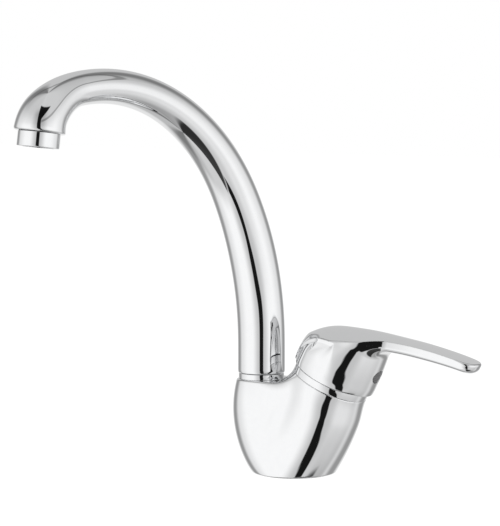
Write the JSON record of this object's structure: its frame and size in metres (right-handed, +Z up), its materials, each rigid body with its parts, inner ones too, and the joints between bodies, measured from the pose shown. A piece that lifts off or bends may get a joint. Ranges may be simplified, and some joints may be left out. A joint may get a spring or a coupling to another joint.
{
  "type": "gooseneck bar faucet",
  "caption": "Single-lever deck faucet with a swan-neck swivel spout, a leaning cartridge body, a curved lever handle, an aerator and its under-deck fixing set.",
  "frame": {"origin": "centre of the round base, on the deck that the faucet stands on", "axes": "+Z up, +X from the base towards the lever, body symmetric about the XZ plane"},
  "size_m": [0.2193, 0.2106, 0.3031],
  "materials": {
    "chromed_brass": "bright polished chrome plate over brass",
    "brass": "turned brass",
    "rubber": "black nitrile rubber",
    "white_plastic": "moulded acetal",
    "grey_plastic": "moulded grey plastic",
    "ceramic": "lapped alumina ceramic",
    "steel": "plain stainless steel"
  },
  "bodies": {
    "root": {"body": "chromed_brass", "base_gasket": "rubber", "spout_collar_ring": "chromed_brass", "spout_keeper_screw": "steel", "cover_ring": "chromed_brass", "cartridge_nut": "brass", "cartridge_housing": "white_plastic", "cartridge_base": "white_plastic", "cartridge_base_seals": "rubber", "fixed_ceramic_disc": "ceramic", "fixing_stud": "steel", "horseshoe_gasket": "rubber", "horseshoe_plate": "steel", "fixing_nut": "brass"},
    "spout": {"spout": "chromed_brass", "spout_upper_bush": "white_plastic", "spout_lower_bush": "white_plastic", "spout_upper_oring": "rubber", "spout_lower_oring": "rubber", "aerator_shell": "chromed_brass", "aerator_washer": "rubber", "aerator_insert": "grey_plastic", "aerator_mesh": "steel"},
    "turret": {"cartridge_turret": "grey_plastic", "turret_oring": "rubber", "stem_pin": "steel"},
    "lever": {"stem": "steel", "handle": "chromed_brass", "handle_grub_screw": "steel", "index_plug": "grey_plastic"},
    "disc": {"moving_ceramic_disc": "ceramic", "disc_carrier": "grey_plastic"}
  },
  "joints": [
    {"name": "spout_swivel", "type": "hinge", "parent": "root", "child": "spout", "pos_m": [-0.0226, 0, 0.0575], "axis": [0, 0, 1], "continuous": true},
    {"name": "handle_temperature", "type": "hinge", "parent": "root", "child": "turret", "pos_m": [0.0242, 0, 0.057], "axis": [0.4226, 0, 0.9063], "range_deg": [-45, 45]},
    {"name": "handle_lift", "type": "hinge", "parent": "turret", "child": "lever", "pos_m": [0.02166, 0, 0.05156], "axis": [0, -1, 0], "range_deg": [0, 22]},
    {"name": "disc_slide", "type": "slide", "parent": "turret", "child": "disc", "axis": [0.9063, 0, -0.4226], "range_m": [0, 0.0035]}
  ],
  "couplings": [
    {"joint": "disc_slide", "follows": "handle_lift", "m_per_rad": 0.00878}
  ]
}
